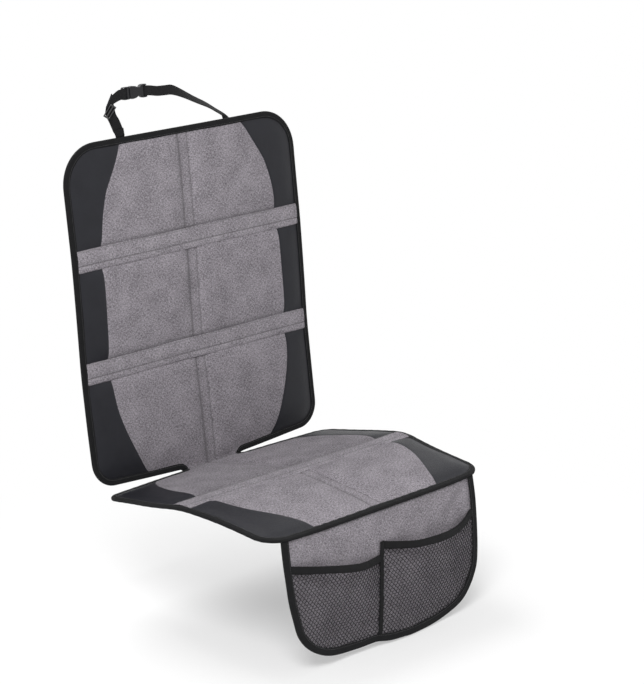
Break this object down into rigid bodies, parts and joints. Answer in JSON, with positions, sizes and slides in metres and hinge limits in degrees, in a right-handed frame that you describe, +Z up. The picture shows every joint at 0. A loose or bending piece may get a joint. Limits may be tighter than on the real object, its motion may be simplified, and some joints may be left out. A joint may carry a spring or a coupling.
{
  "type": "car seat protector",
  "caption": "Padded seat cover that folds into an L over a car seat, with quilted back and seat panels, a hanging flap with net pockets, and a buckled strap loop over the top edge.",
  "frame": {"origin": "point on the seat panel's underside, on its centre line, midway along the flat front half", "axes": "+X to the right hand of someone facing the protector's front, +Y back towards the backrest, +Z up"},
  "size_m": [0.5, 0.5089, 0.8051],
  "materials": {
    "grey_melange_fabric": "woven melange",
    "black_faux_leather": "smooth, slightly glossy",
    "black_lining": "matte",
    "anti_slip_backing": "matte, dotted",
    "foam": "soft foam, hidden",
    "black_tape": "woven tape",
    "black_net": "knitted net",
    "black_webbing": "woven webbing",
    "black_plastic": "moulded, satin"
  },
  "bodies": {
    "root": {"back_grey_face": "grey_melange_fabric", "seat_grey_face": "grey_melange_fabric", "back_strip_lower": "grey_melange_fabric", "back_strip_upper": "grey_melange_fabric", "seat_strip": "grey_melange_fabric", "flap_fabric": "grey_melange_fabric", "back_side_left": "black_faux_leather", "back_side_right": "black_faux_leather", "seat_side_left": "black_faux_leather", "seat_side_right": "black_faux_leather", "back_lining": "black_lining", "seat_underside": "anti_slip_backing", "back_foam_low_left": "foam", "back_foam_low_right": "foam", "back_foam_mid_left": "foam", "back_foam_mid_right": "foam", "back_foam_top_left": "foam", "back_foam_top_right": "foam", "seat_foam_rear_left": "foam", "seat_foam_rear_right": "foam", "seat_foam_front_left": "foam", "seat_foam_front_right": "foam", "back_binding": "black_tape", "seat_binding": "black_tape", "flap_binding": "black_tape", "pocket_band_left": "black_tape", "pocket_band_right": "black_tape", "pocket_divider": "black_tape", "pocket_net_left": "black_net", "pocket_net_right": "black_net", "strap_left": "black_webbing", "strap_left_end": "black_webbing", "strap_right": "black_webbing", "buckle_plug": "black_plastic", "buckle_socket": "black_plastic", "strap_slider": "black_plastic"}
  },
  "joints": []
}
